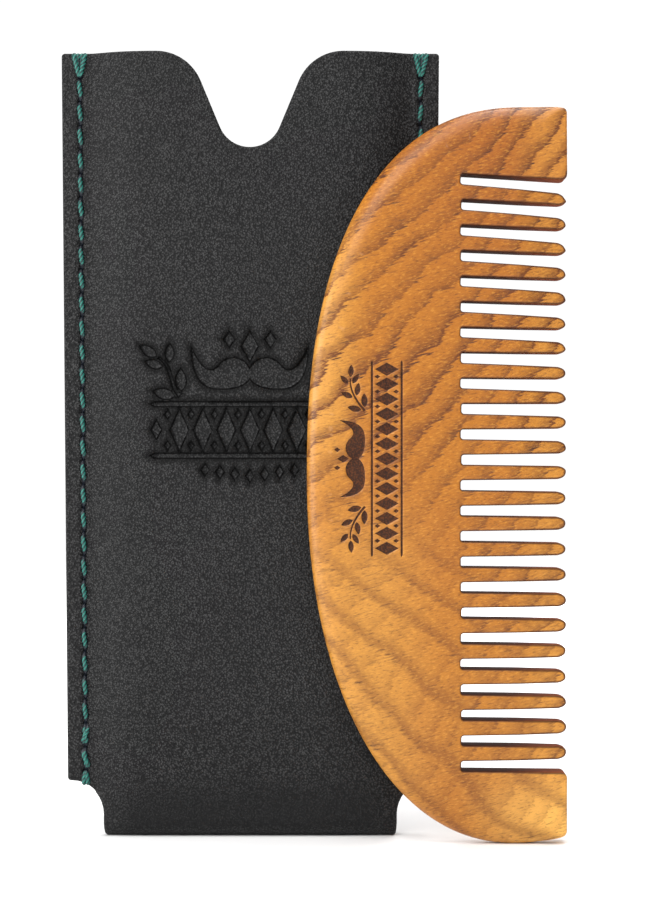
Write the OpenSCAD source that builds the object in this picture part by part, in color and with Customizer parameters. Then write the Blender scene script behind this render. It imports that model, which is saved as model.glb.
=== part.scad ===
// Wooden beard comb standing in front of its own stitched leather sleeve.
// Millimetres. +Z is up along the comb, -Y is the side with the decorated faces.
// The origin is the middle of the bottom of the whole set.

/* [Comb] */
// Length of the comb from end to end
comb_length = 127; // [115:1:135]
// Width of the comb from its spine to its tooth tips
comb_width = 44.7; // [42:0.1:46]
// Thickness of the wood
comb_thickness = 5.5; // [4.5:0.1:5.5]
// Highest point of the upper end, measured in from the tooth tips
upper_crown_inset = 6.8; // [6:0.1:10]
// Fullness of the upper end, where 2 is an ellipse and more is squarer
upper_fullness = 2.38; // [2:0.02:2.6]
// Lowest point of the lower end, measured in from the tooth tips
lower_crown_inset = 9; // [6:0.1:10]
// Fullness of the lower end, where 2 is an ellipse and more is squarer
lower_fullness = 2.14; // [2:0.02:2.6]
// Width of the rounded band along the spine
round_w = 3.2; // [1:0.1:4]
// Depth of the rounded band on each face
round_depth = 2.3; // [1:0.1:2.3]

/* [Teeth] */
// Number of saw slots, one more than the number of teeth
slot_count = 24; // [20:1:24]
// Length of a tooth from its root to its tip
tooth_length = 18.2; // [15:0.1:19]
// Distance between the middles of two neighbouring slots
slot_pitch = 4.385; // [4.3:0.005:4.4]
// Height of the middle of the lowest slot above the end of the comb
lowest_slot_z = 13.5; // [13:0.1:14]
// Width of a slot at its root
slot_root_w = 1.75; // [1.5:0.05:1.8]
// Width of a slot at its mouth
slot_mouth_w = 2.15; // [1.9:0.05:2.2]
// Radius in each corner of a slot's root
root_r = 0.45; // [0.3:0.05:0.5]
// Radius on each side of a tooth's tip
tip_r = 1; // [0.6:0.05:1]
// Number of slots, from the lower end, that run level
level_slots = 12; // [6:1:16]
// Angle by which the uppermost slot leans down towards its mouth
top_lean = 4.4; // [0:0.1:5]
// Length over which the teeth are ground thinner
grind_l = 8.3; // [5:0.1:10]
// Thickness of the teeth at their tips
tip_thickness = 3.1; // [2.5:0.1:4]

/* [Sleeve] */
// Height of the sleeve
sleeve_height = 137.5; // [135:0.5:145]
// Width of the sleeve at its mouth
sleeve_width = 66.4; // [65:0.1:70]
// How much narrower the sleeve is at its foot
sleeve_taper = 2.2; // [0:0.1:3]
// Thickness of the leather
leather_t = 1.6; // [1.2:0.1:1.8]
// Depth of the pocket between the two layers
pocket_gap = 6.2; // [6:0.1:7]
// Width of the pocket
pocket_w = 56; // [54:0.5:56]
// Outer radius of the fold at the foot
fold_r = 3.2; // [3:0.1:3.5]
// How much of the round fold is pressed flat where it stands
fold_flat = 0.8; // [0.5:0.1:1]
// Height over which the pocket opens out from the fold
opening_h = 22; // [15:1:30]
// Width of the piece cut away at each foot corner
corner_cut_w = 6.5; // [6.5:0.1:7]
// Height of the piece cut away at each foot corner
corner_cut_h = 9.7; // [8:0.1:12]
// Radius of the hollow corner of that cut
corner_cut_r = 5.8; // [4:0.1:5.8]
// Radius of the sleeve's other corners
edge_corner_r = 0.6; // [0.3:0.1:0.6]

/* [Thumb notch] */
// Depth of the notch in both layers at the mouth
notch_depth = 16.8; // [14:0.1:20]
// Distance from the middle to where the mouth starts to dip
notch_shoulder_x = 16.4; // [15:0.1:18]
// Radius of the notch's shoulders
shoulder_r = 8.5; // [6:0.1:9]
// Radius at the bottom of the notch
notch_r = 5.6; // [4:0.1:6]

/* [Seams] */
// Distance from the sleeve's edge to the middle of its seam
seam_inset = 3.2; // [3:0.1:3.4]
// Number of stitches in each seam
stitch_count = 30; // [24:1:32]
// Height of the lowest awl hole above the foot corner's cut
lowest_hole_rise = 1.7; // [1.5:0.1:3]
// Radius of the waxed thread
thread_r = 0.34; // [0.25:0.01:0.36]
// Radius of an awl hole
awl_hole_r = 0.5; // [0.4:0.05:0.5]
// Width of the groove that the stitches lie in
groove_w = 1.3; // [1:0.1:1.4]
// Depth of that groove
groove_depth = 0.35; // [0.1:0.05:0.4]

/* [Layout] */
// How far the comb stands out past the sleeve's right edge
comb_stand_out = 21.5; // [18:0.5:30]
// Space between the comb's back and the sleeve's front
stand_gap = 0.5; // [0.4:0.1:2]

/* [Hidden] */

// The whole set and where its two halves stand in it
set_width = sleeve_width + comb_stand_out;
sleeve_thickness = pocket_gap + 2 * leather_t;
set_depth = sleeve_thickness + stand_gap + comb_thickness;
sleeve_x = (sleeve_width - set_width) / 2;
sleeve_y = (set_depth - sleeve_thickness) / 2;
tooth_edge_x = set_width / 2;
comb_y = (comb_thickness - set_depth) / 2;

// Comb
comb_mid_z = comb_length / 2;
root_x = tooth_edge_x - tooth_length;
edge_steps = 30;
round_steps = 4;
corner_steps = 3;
top_slot_z = lowest_slot_z + (slot_count - 1) * slot_pitch;
overrun = 1;

// Sleeve
top_half = sleeve_width / 2;
foot_half = top_half - sleeve_taper / 2;
fold_half = foot_half - corner_cut_w;
pocket_half = pocket_w / 2;
pocket_squareness = 6;
inner_fold_r = fold_r - leather_t;
lens_steps = 16;
opening_steps = 6;
arc_steps = 6;

// Seams
seam_foot_z = corner_cut_h + lowest_hole_rise;
stitch_pitch = (sleeve_height - seam_foot_z) / stitch_count;
seam_lean = atan(sleeve_taper / 2 / (sleeve_height - corner_cut_h));
groove_floor = leather_t - groove_depth;
rung_r = thread_r * 0.85;
wrap_half = thread_r * 1.2;
stitch_dip = rung_r * 0.45;

// Points on an arc of radius r about c, from angle a to angle b
function arc(c, r, a, b, steps) =
    [for (i = [0 : steps]) c + r * [cos(a + (b - a) * i / steps), sin(a + (b - a) * i / steps)]];
// An even S-shaped rise from 0 to 1
function ease(u) = u * u * (3 - 2 * u);
// The same points in the opposite order
function reversed(list) = [for (i = [len(list) - 1 : -1 : 0]) list[i]];

// ---- Comb ----

// One end of the comb's outline, as a rounded crown cut off at the tooth tips
function crown(inset, fullness, half_width, half_height) =
    let (cut = acos(pow(inset / half_width, fullness / 2)))
    [for (i = [0 : edge_steps])
        let (t = cut + (180 - cut) * i / edge_steps)
        [sign(cos(t)) * half_width * pow(abs(cos(t)), 2 / fullness) - inset,
         half_height * pow(abs(sin(t)), 2 / fullness)]];

// The whole outline, drawn in by a margin on its curved side
module comb_outline(margin) {
    upper = crown(upper_crown_inset, upper_fullness,
        comb_width - upper_crown_inset - margin, comb_mid_z - margin);
    lower = crown(lower_crown_inset, lower_fullness,
        comb_width - lower_crown_inset - margin, comb_mid_z - margin);
    polygon(concat(upper, [for (p = reversed(lower)) [p[0], -p[1]]]));
}

// Slab with a rounded spine and ends, and square at the tooth tips
module comb_blank() {
    translate([tooth_edge_x, comb_y, comb_mid_z])
        rotate([90, 0, 0])
            hull() {
                for (i = [0 : round_steps]) {
                    a = 90 * i / round_steps;
                    level = comb_thickness / 2 - round_depth * (1 - sin(a));
                    translate([0, 0, -level])
                        linear_extrude(2 * level)
                            comb_outline(round_w * (1 - cos(a)));
                }
            }
}

// One slot, running from its rounded root out past the rounded tips on either side
module slot_shape() {
    root_half = slot_root_w / 2;
    mouth_half = slot_mouth_w / 2;
    side = concat(
        arc([root_r, root_half - root_r], root_r, 180, 90, corner_steps),
        arc([tooth_length - tip_r, mouth_half + tip_r], tip_r, 270, 360, corner_steps),
        [[tooth_length + overrun, mouth_half + tip_r]]
    );
    polygon(concat(side, [for (p = reversed(side)) [p[0], -p[1]]]));
}

module slots() {
    for (i = [0 : slot_count - 1]) {
        lean = top_lean * max(0, i - level_slots) / (slot_count - 1 - level_slots);
        translate([root_x, comb_y, lowest_slot_z + i * slot_pitch])
            rotate([90, lean, 0])
                translate([0, 0, -comb_thickness])
                    linear_extrude(2 * comb_thickness)
                        slot_shape();
    }
}

// What is ground off both faces of the teeth, leaving the end guards full
module tooth_grind() {
    thin = (comb_thickness - tip_thickness) / 2;
    low = lowest_slot_z - slot_root_w / 2;
    high = top_slot_z - slot_root_w / 2;
    for (face = [-1, 1])
        translate([tooth_edge_x, comb_y + face * comb_thickness / 2, low])
            linear_extrude(high - low)
                polygon([[-grind_l, 0], [0, -face * thin], [overrun, -face * thin],
                    [overrun, face * overrun], [-grind_l, face * overrun]]);
}

module comb() {
    color("peru")
        difference() {
            comb_blank();
            tooth_grind();
            slots();
        }
}

// ---- Sleeve ----

// Right half of the front outline, from the foot up to the bottom of the notch
function sleeve_side() =
    let (
        shoulder = [notch_shoulder_x, sleeve_height - shoulder_r],
        bowl = [0, sleeve_height - notch_depth + notch_r],
        span = shoulder - bowl,
        flank = atan2(span[1], span[0]) - acos((notch_r + shoulder_r) / norm(span))
    )
    concat(
        [[fold_half, 0]],
        arc([fold_half + corner_cut_r, corner_cut_h - corner_cut_r], corner_cut_r, 180, 90, arc_steps),
        arc([foot_half - edge_corner_r, corner_cut_h + edge_corner_r], edge_corner_r, -90, 0, corner_steps),
        arc([top_half - edge_corner_r, sleeve_height - edge_corner_r], edge_corner_r, 0, 90, corner_steps),
        arc(shoulder, shoulder_r, 90, 180 + flank, arc_steps),
        arc(bowl, notch_r, flank, -90, arc_steps)
    );

// Section across the sleeve: two layers that lie together at the seams and part between them
function lens(half_gap, wall, half_width) =
    let (side = concat(
        [for (i = [-lens_steps : lens_steps])
            let (u = i / lens_steps)
            [u * pocket_half, wall + half_gap * (1 - pow(abs(u), pocket_squareness))]],
        half_width > pocket_half ? [[half_width, wall]] : []
    ))
    concat(half_width > pocket_half ? [[-half_width, wall]] : [], side);

// Section through the fold: a round foot that opens out towards the mouth
function fold_side(r, centre_z, full) =
    let (start = centre_z >= r ? 0 : asin(centre_z / r))
    concat(
        arc([0, centre_z], r, centre_z >= r ? -90 : -start, 0, arc_steps),
        [for (i = [1 : opening_steps])
            let (u = i / opening_steps)
            [r + (full - r) * ease(u), centre_z + opening_h * u]],
        [[full, sleeve_height + overrun]]
    );

module both_sides(side) {
    polygon(concat(side, [for (p = reversed(side)) [-p[0], p[1]]]));
}

module front_and_back(side) {
    polygon(concat(side, [for (p = reversed(side)) [p[0], -p[1]]]));
}

// The outside of the folded sleeve, about its own middle
module sleeve_outside() {
    full = sleeve_thickness / 2;
    intersection() {
        rotate([90, 0, 0])
            translate([0, 0, -sleeve_thickness])
                linear_extrude(2 * sleeve_thickness)
                    both_sides(sleeve_side());
        linear_extrude(sleeve_height)
            front_and_back(lens(pocket_gap / 2, leather_t, top_half + overrun));
        rotate([90, 0, 90])
            translate([0, 0, -sleeve_width])
                linear_extrude(2 * sleeve_width)
                    both_sides(fold_side(fold_r, fold_r - fold_flat, full + overrun / 4));
    }
}

// The space inside, open at the mouth
module pocket() {
    intersection() {
        linear_extrude(sleeve_height + overrun)
            front_and_back(lens(pocket_gap / 2, 0, pocket_half));
        rotate([90, 0, 90])
            translate([0, 0, -sleeve_width])
                linear_extrude(2 * sleeve_width)
                    both_sides(fold_side(inner_fold_r, leather_t + inner_fold_r,
                        pocket_gap / 2 + overrun / 4));
    }
}

// Moves to the lowest awl hole of one seam, with +Z running up the seam
module at_seam(side) {
    foot_x = foot_half - seam_inset + tan(seam_lean) * lowest_hole_rise;
    translate([side * foot_x, 0, seam_foot_z])
        rotate([0, side * seam_lean, 0])
            children();
}

// The awl holes of one seam and the groove that its stitches lie in
module seam_cuts() {
    run = (stitch_count - 1) * stitch_pitch;
    for (i = [0 : stitch_count - 1])
        translate([0, -sleeve_thickness / 2, i * stitch_pitch])
            rotate([-90, 0, 0])
                cylinder(r = awl_hole_r, h = sleeve_thickness, $fn = 24);
    for (face = [-1, 1])
        translate([-groove_w / 2, face * (groove_floor + overrun / 2) - overrun / 2, -groove_w / 2])
            cube([groove_w, overrun, run + groove_w]);
}

module sleeve_leather() {
    color("dimgray")
        translate([sleeve_x, sleeve_y, 0])
            difference() {
                sleeve_outside();
                pocket();
                for (side = [-1, 1])
                    at_seam(side)
                        seam_cuts();
            }
}

// ---- Seam threads ----

// One thread, saddle stitched through every hole and wrapped twice over the mouth
module seam_thread(side) {
    last = (stitch_count - 1) * stitch_pitch;
    lay_y = groove_floor + thread_r;
    wrap_y = leather_t + thread_r;
    wrap_top = last + stitch_pitch + thread_r * 1.2;
    translate([sleeve_x, sleeve_y, 0])
        at_seam(side) {
            for (face = [-1, 1]) {
                for (i = [0 : stitch_count - 2])
                    translate([0, face * lay_y, i * stitch_pitch + stitch_dip])
                        cylinder(r = thread_r, h = stitch_pitch - 2 * stitch_dip, $fn = 24);
                for (turn = [-1, 1])
                    translate([turn * wrap_half, face * wrap_y, last - stitch_dip])
                        cylinder(r = thread_r, h = wrap_top - last + stitch_dip, $fn = 24);
            }
            for (i = [0 : stitch_count - 2])
                translate([0, -lay_y, i * stitch_pitch])
                    rotate([-90, 0, 0])
                        cylinder(r = rung_r, h = 2 * lay_y, $fn = 24);
            translate([0, -wrap_y, last])
                rotate([-90, 0, 0])
                    cylinder(r = rung_r, h = 2 * wrap_y, $fn = 24);
            for (turn = [-1, 1])
                translate([turn * wrap_half, -wrap_y - thread_r * 1.2, wrap_top])
                    rotate([-90, 0, 0])
                        cylinder(r = thread_r * 1.1, h = 2 * (wrap_y + thread_r * 1.2), $fn = 24);
        }
}

module left_seam_thread() {
    color("seagreen")
        seam_thread(-1);
}

module right_seam_thread() {
    color("seagreen")
        seam_thread(1);
}

comb();
sleeve_leather();
left_seam_thread();
right_seam_thread();
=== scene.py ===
"""A wooden beard comb in front of its stitched leather sleeve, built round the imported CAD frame.

Sizes are in millimetres in the part's own frame (+Z up, -Y the front) and become metres as each mesh is made.
"""

import logging
import math
from dataclasses import dataclass, field
from enum import Enum
from typing import Any, Callable, Sequence

import bpy
import numpy as np
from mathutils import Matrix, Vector
from mathutils.geometry import delaunay_2d_cdt


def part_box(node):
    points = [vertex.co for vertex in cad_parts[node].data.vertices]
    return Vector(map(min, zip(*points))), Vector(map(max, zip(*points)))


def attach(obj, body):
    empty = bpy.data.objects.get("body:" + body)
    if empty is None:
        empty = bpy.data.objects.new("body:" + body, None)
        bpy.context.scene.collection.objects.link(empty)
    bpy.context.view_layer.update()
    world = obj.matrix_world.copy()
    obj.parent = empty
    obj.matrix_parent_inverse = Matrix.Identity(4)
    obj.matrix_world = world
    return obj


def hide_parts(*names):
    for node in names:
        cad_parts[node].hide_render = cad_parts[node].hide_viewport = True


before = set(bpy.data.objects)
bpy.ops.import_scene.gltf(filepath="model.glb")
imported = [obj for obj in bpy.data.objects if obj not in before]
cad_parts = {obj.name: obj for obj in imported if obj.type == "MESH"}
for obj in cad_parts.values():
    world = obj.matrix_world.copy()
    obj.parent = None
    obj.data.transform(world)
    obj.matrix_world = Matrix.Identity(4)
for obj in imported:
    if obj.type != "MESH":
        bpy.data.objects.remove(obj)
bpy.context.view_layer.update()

MM = 0.001
LOG = logging.getLogger("beard_comb")
Array = np.ndarray
Colour = tuple[float, float, float, float]
Place = tuple[float, float, float]


class Face(Enum):
    """The two broad faces of a board or sheet, by the sign of their distance from its middle."""

    UNDER = -1
    UPPER = 1


class Side(Enum):
    """The sleeve's two sewn sides, by the sign of X."""

    LEFT = -1
    RIGHT = 1


# ---- Plain geometry ----


def arc(centre: Sequence[float], radius: float, start: float, end: float, steps: int) -> Array:
    """Points along an arc.

    Args:
        centre: the arc's centre.
        radius: its radius.
        start: its first angle, in degrees.
        end: its last angle, in degrees.
        steps: the number of steps between them.

    Returns:
        The points, one row each.
    """
    angle = np.radians(np.linspace(start, end, steps + 1))
    return np.asarray(centre, float) + radius * np.stack([np.cos(angle), np.sin(angle)], 1)


def ease(u: Array | float) -> Array | float:
    """An even S-shaped rise from 0 to 1, held outside that range."""
    u = np.clip(u, 0.0, 1.0)
    return u * u * (3 - 2 * u)


def unit(rows: Array) -> Array:
    """Each row scaled to a length of one."""
    return rows / np.maximum(np.linalg.norm(rows, axis=-1, keepdims=True), 1e-12)


def turned(points: Array, degrees: float) -> Array:
    """Points turned anticlockwise about the origin."""
    c, s = math.cos(math.radians(degrees)), math.sin(math.radians(degrees))
    return points @ np.array([[c, s], [-s, c]])


def densified(loop: Array, step: float) -> Array:
    """A closed loop with points added so that no side is longer than step.

    Args:
        loop: the loop's corners.
        step: the longest side allowed.

    Returns:
        The loop with its old corners and the new points between them.
    """
    rows = []
    for here, there in zip(loop, np.roll(loop, -1, 0)):
        count = max(1, math.ceil(float(np.linalg.norm(there - here)) / step))
        rows.append(here + (there - here) * np.arange(count)[:, None] / count)
    return np.vstack(rows)


def cleaned(loop: Array, least: float = 0.02) -> Array:
    """A closed loop without the points that lie on top of the one before."""
    keep = np.linalg.norm(loop - np.roll(loop, 1, 0), axis=1) > least
    return loop[keep]


def anticlockwise(loop: Array) -> Array:
    """The loop in anticlockwise order.

    Args:
        loop: its points, in either order.

    Returns:
        The same points, turned round if need be.
    """
    x, y = loop[:, 0], loop[:, 1]
    area = np.sum(x * np.roll(y, -1) - np.roll(x, -1) * y)
    return loop if area > 0 else loop[::-1]


def inward(loop: Array) -> Array:
    """The direction into a loop at each point, longer at a corner so that offsets stay even.

    Args:
        loop: its points, anticlockwise.

    Returns:
        One vector for each point.
    """
    before = unit(loop - np.roll(loop, 1, 0))
    after = unit(np.roll(loop, -1, 0) - loop)
    tangent = unit(before + after)
    normal = np.stack([-tangent[:, 1], tangent[:, 0]], 1)
    across = np.stack([-after[:, 1], after[:, 0]], 1)
    return normal / np.clip(np.sum(normal * across, axis=1, keepdims=True), 0.5, 1.0)


def bezier(knots: Sequence[Sequence[float]], steps: int) -> Array:
    """Points along joined cubic curves.

    Args:
        knots: a point, then two handles and a point for each further stretch.
        steps: points on each stretch.

    Returns:
        The points without the last one.
    """
    rows, t = [], np.linspace(0, 1, steps, endpoint=False)[:, None]
    p = np.asarray(knots, float)
    for i in range(0, len(p) - 1, 3):
        a, b, c, d = p[i : i + 4]
        rows.append((1 - t) ** 3 * a + 3 * (1 - t) ** 2 * t * b + 3 * (1 - t) * t**2 * c + t**3 * d)
    return np.vstack(rows)


def inside(points: Array, loop: Array) -> Array:
    """Which points lie inside a closed loop.

    Args:
        points: the points to test.
        loop: the loop's corners.

    Returns:
        True for each point inside.
    """
    x, y = points[:, 0], points[:, 1]
    hit = np.zeros(len(points), bool)
    for (ax, ay), (bx, by) in zip(loop, np.roll(loop, -1, 0)):
        if ay == by:
            continue
        crosses = (ay > y) != (by > y)
        hit ^= crosses & (x < (bx - ax) * (y - ay) / (by - ay) + ax)
    return hit


def clearance(points: Array, marks: Array) -> Array:
    """Distance from each point to the nearest mark.

    Args:
        points: the points to measure from.
        marks: the points to measure to.

    Returns:
        One distance for each point.
    """
    best = np.full(len(points), np.inf)
    for start in range(0, len(marks), 256):
        gap = np.linalg.norm(points[:, None] - marks[None, start : start + 256], axis=2)
        best = np.minimum(best, gap.min(1))
    return best


def grid(low: Sequence[float], high: Sequence[float], step: float) -> Array:
    """A triangular grid of points over a rectangle.

    Args:
        low: the rectangle's lower left corner.
        high: its upper right corner.
        step: distance between neighbours.

    Returns:
        The points.
    """
    rows = []
    for i, y in enumerate(np.arange(low[1], high[1], step * math.sqrt(0.75))):
        xs = np.arange(low[0] + (i % 2) * step / 2, high[0], step)
        rows.append(np.stack([xs, np.full_like(xs, y)], 1))
    return np.vstack(rows)


def wander(points: Array, pitch: float, seed: int) -> Array:
    """A smooth random height between about -1 and 1.

    Args:
        points: where it is wanted.
        pitch: about how far apart its crests lie.
        seed: which of its many shapes to take.

    Returns:
        One height for each point.
    """
    rng = np.random.default_rng(seed)
    total = np.zeros(len(points))
    for _ in range(7):
        angle, phase = rng.uniform(0, 2 * math.pi, 2)
        wave = 2 * math.pi / (pitch * rng.uniform(0.7, 1.6))
        total += np.sin((points[:, 0] * math.cos(angle) + points[:, 1] * math.sin(angle)) * wave + phase)
    return total / 4


# ---- The pressed and burnt ornament ----


@dataclass(frozen=True)
class Ornament:
    """A plain barber's ornament of a moustache, lozenges and leafy sprigs, as loops that never touch."""

    moustache_half: float
    moustache_height: float
    leaf: tuple[float, float]
    curve_steps: int = 9

    def moustache(self) -> Array:
        """The outline of the whole moustache.

        Returns:
            Its points, about the middle of its top dip.
        """
        wing = bezier(
            [(0, 0.12), (0.10, 0.36), (0.36, 0.46), (0.55, 0.16), (0.66, 0.0), (0.82, 0.06), (1.0, 0.56),
             (1.0, 0.02), (0.86, -0.30), (0.58, -0.32), (0.36, -0.33), (0.12, -0.32), (0, -0.10)],
            self.curve_steps,
        )
        other = wing[::-1] * [-1, 1]
        loop = np.vstack([wing, [[0, -0.10]], other[:-1]])
        return cleaned(loop * [self.moustache_half, self.moustache_height])

    def one_leaf(self, base: Array, angle: float, scale: float = 1.0) -> Array:
        """A pointed leaf.

        Args:
            base: the point that it grows from.
            angle: its heading in degrees.

        Returns:
            Its loop.
        """
        length, width = self.leaf[0] * scale, self.leaf[1] * scale
        loop = bezier(
            [(0, 0), (length * 0.25, width * 0.75), (length * 0.7, width * 0.6), (length, 0),
             (length * 0.7, -width * 0.6), (length * 0.25, -width * 0.75), (0, 0)],
            self.curve_steps,
        )
        return turned(loop, angle) + base

    @staticmethod
    def lozenge(centre: Sequence[float], width: float, height: float) -> Array:
        """A diamond about a centre."""
        return np.array([[width / 2, 0], [0, height / 2], [-width / 2, 0], [0, -height / 2]]) + centre

    @staticmethod
    def rule(start: Sequence[float], end: Sequence[float], width: float) -> Array:
        """A straight bar with pointed ends.

        Args:
            start: the point of one end.
            end: the point of the other.
            width: its thickness.

        Returns:
            Its loop.
        """
        a, b = np.asarray(start, float), np.asarray(end, float)
        along = unit((b - a)[None])[0]
        out = np.array([-along[1], along[0]]) * width / 2
        tip = along * width
        return densified(np.vstack([a + tip + out, a, a + tip - out, b - tip - out, b, b - tip + out]), 1.0)

    def sprig(self, stem: Array, width: float, pairs: int, gap: float) -> list[Array]:
        """A curved stem with a leaf at its tip and pairs of leaves along it.

        Args:
            stem: the stem's middle line, from its foot to its tip.
            width: the stem's thickness at its foot.
            pairs: the number of leaf pairs.
            gap: bare space between the stem and each leaf.

        Returns:
            One loop for the stem and one for each leaf.
        """
        along = unit(np.gradient(stem, axis=0))
        out = np.stack([-along[:, 1], along[:, 0]], 1)
        taper = np.linspace(1.0, 0.5, len(stem))[:, None] * width / 2
        loops = [np.vstack([stem + out * taper, (stem - out * taper)[::-1]])]
        for place in np.linspace(0.12, 0.86, pairs):
            i = int(place * (len(stem) - 1))
            heading = math.degrees(math.atan2(along[i, 1], along[i, 0]))
            for side in (-1, 1):
                base = stem[i] + out[i] * side * (gap + width / 2)
                loops.append(self.one_leaf(base, heading + side * 38, 1.0 - 0.25 * place))
        heading = math.degrees(math.atan2(along[-1, 1], along[-1, 0]))
        loops.append(self.one_leaf(stem[-1] + along[-1] * gap * 1.6, heading, 0.85))
        return loops


# ---- Boards and sheets ----


@dataclass
class Slab:
    """A board or sheet with rounded edges: two faces that follow its outline and the wall between them.

    Each face is a flat field of triangles inside rings that roll over the edge. A point of the slab is
    a place on the outline's plane and a level above the middle, and place() puts it into the frame.
    """

    outline: Array
    round_width: Array
    round_depth: Array
    half: Callable[[Array], Array]
    place: Callable[[Array, Array], Array]
    loops: dict[Face, list[tuple[Array, float]]]
    points: dict[Face, Array]
    sink: Callable[[Array, Array, Face], Array]
    roll_steps: int = 5
    wall_steps: int = 2
    rows: list[Array] = field(default_factory=list)
    marks: dict[str, list[Array]] = field(default_factory=lambda: {"edge": [], "stamp": [], "face": []})
    faces: list[Sequence[int]] = field(default_factory=list)
    count: int = 0

    def add(self, points: Array, level: Array, edge: float, stamp: Array | float, face: int) -> Array:
        """Adds one batch of vertices with its marks.

        Args:
            points: their places on the outline's plane.
            level: their distances above the middle.
            edge: 1 on the wall, falling to 0 on the flat face.
            stamp: how much of the stamp's full depth each has, from 0 to 1.
            face: 1 or -1 for the two broad faces, and 0 between them.

        Returns:
            Their numbers.
        """
        self.rows.append(self.place(points, level))
        for name, value in (("edge", edge), ("stamp", stamp), ("face", face)):
            self.marks[name].append(np.broadcast_to(np.asarray(value, float), len(points)))
        first = self.count
        self.count += len(points)
        return np.arange(first, self.count)

    def band(self, lower: Array, upper: Array, flip: bool) -> None:
        """Joins two rings of vertices with four-sided faces.

        Args:
            lower: the numbers of one ring.
            upper: the numbers of the next.
            flip: whether the faces look the other way.
        """
        quads = zip(lower, np.roll(lower, -1), np.roll(upper, -1), upper)
        self.faces.extend(q[::-1] if flip else q for q in (tuple(map(int, r)) for r in quads))

    def fill(self, ring: Array, face: Face) -> tuple[Array, Array, Array]:
        """Triangles over the field inside a ring.

        Args:
            ring: the ring's points.
            face: which face of the slab it is.

        Returns:
            The points, how far the stamp sinks each, from 0 to 1, and the triangles.
        """
        coords, sinks, edges = [ring], [np.zeros(len(ring))], []
        start = 0
        for loop, depth in [(ring, 0.0)] + self.loops[face]:
            numbers = np.arange(start, start + len(loop))
            edges.extend(zip(numbers.tolist(), np.roll(numbers, -1).tolist()))
            if start:
                coords.append(loop)
                sinks.append(np.full(len(loop), depth))
            start += len(loop)
        free = self.points[face]
        free = free[inside(free, ring)]
        marks = np.vstack(coords)
        free = free[clearance(free, marks) > 0.12]
        deep = np.zeros(len(free))
        for loop, depth in self.loops[face]:
            if depth >= 1:
                deep[inside(free, loop)] = 1.0
        given = np.vstack([marks, free])
        depths = np.concatenate([*sinks, deep])
        out = delaunay_2d_cdt([Vector(p) for p in given], edges, [], 0, 1e-6, True)
        points = np.array([tuple(v) for v in out[0]])
        known = np.array([max(depths[i] for i in o) if o else 0.5 for o in out[3]])
        triangles = np.array([tuple(t) for t in out[2]])
        return points, known, triangles[inside(points[triangles].mean(1), ring)]

    def build(self) -> None:
        """Works out every vertex and face: each broad face with its rolled edge, then the wall between."""
        loop = self.outline
        into = inward(loop)
        rims = {}
        for face in Face:
            sign, above = face.value, None
            for step in range(self.roll_steps):
                angle = math.pi / 2 * step / self.roll_steps
                at = loop + into * (self.round_width * (1 - math.cos(angle)))[:, None]
                drop = self.round_depth * (1 - math.sin(angle))
                level = sign * (self.half(at) - drop - self.sink(at, np.zeros(len(at)), face))
                ring = self.add(at, level, 1 - step / self.roll_steps, 0.0, sign)
                if above is None:
                    rims[face] = (ring, at, level)
                else:
                    self.band(above, ring, sign < 0)
                above = ring
            at = loop + into * self.round_width[:, None]
            points, stamp, triangles = self.fill(at, face)
            level = sign * (self.half(points) - self.sink(points, stamp, face))
            field_rows = self.add(points, level, 0.0, stamp, sign)
            self.band(above, field_rows[: len(at)], sign < 0)
            order = triangles if sign > 0 else triangles[:, ::-1]
            self.faces.extend(tuple(map(int, t)) for t in field_rows[order])
        (low_ring, low_at, low), (high_ring, _, high) = rims[Face.UNDER], rims[Face.UPPER]
        below = low_ring
        for step in range(1, self.wall_steps):
            middle = self.add(low_at, low + (high - low) * step / self.wall_steps, 1.0, 0.0, 0)
            self.band(below, middle, False)
            below = middle
        self.band(below, high_ring, False)

    def mesh(self, name: str) -> bpy.types.Object:
        """The finished slab as a smooth object with its marks as attributes.

        Args:
            name: the object's name.

        Returns:
            The object.
        """
        self.build()
        obj = new_object(name, np.vstack(self.rows), self.faces)
        for mark, parts in self.marks.items():
            set_attribute(obj, mark, np.concatenate(parts))
        return obj


def new_object(name: str, points: Array, faces: Sequence[Sequence[int]]) -> bpy.types.Object:
    """A smooth mesh object.

    Args:
        name: the object's name.
        points: its vertices in millimetres.
        faces: the vertex numbers of each face.

    Returns:
        The object, linked to the scene.
    """
    mesh = bpy.data.meshes.new(name)
    mesh.from_pydata((points * MM).tolist(), [], [tuple(f) for f in faces])
    mesh.validate()
    mesh.shade_smooth()
    mesh.update()
    obj = bpy.data.objects.new(name, mesh)
    bpy.context.scene.collection.objects.link(obj)
    return obj


def set_attribute(obj: bpy.types.Object, name: str, values: Array) -> None:
    """Gives each vertex of a mesh a number that its finish can read."""
    layer = obj.data.attributes.new(name, "FLOAT", "POINT")
    layer.data.foreach_set("value", np.asarray(values, np.float32))


# ---- Shader writing ----


def srgb(red: float, green: float, blue: float) -> Colour:
    """A screen colour as the linear colour that shaders use.

    Args:
        red: from 0 to 255.
        green: from 0 to 255.
        blue: from 0 to 255.

    Returns:
        The linear red, green and blue, and an alpha of 1.
    """
    parts = [c / 255 for c in (red, green, blue)]
    linear = [c / 12.92 if c <= 0.04045 else ((c + 0.055) / 1.055) ** 2.4 for c in parts]
    return (*linear, 1.0)


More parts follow.
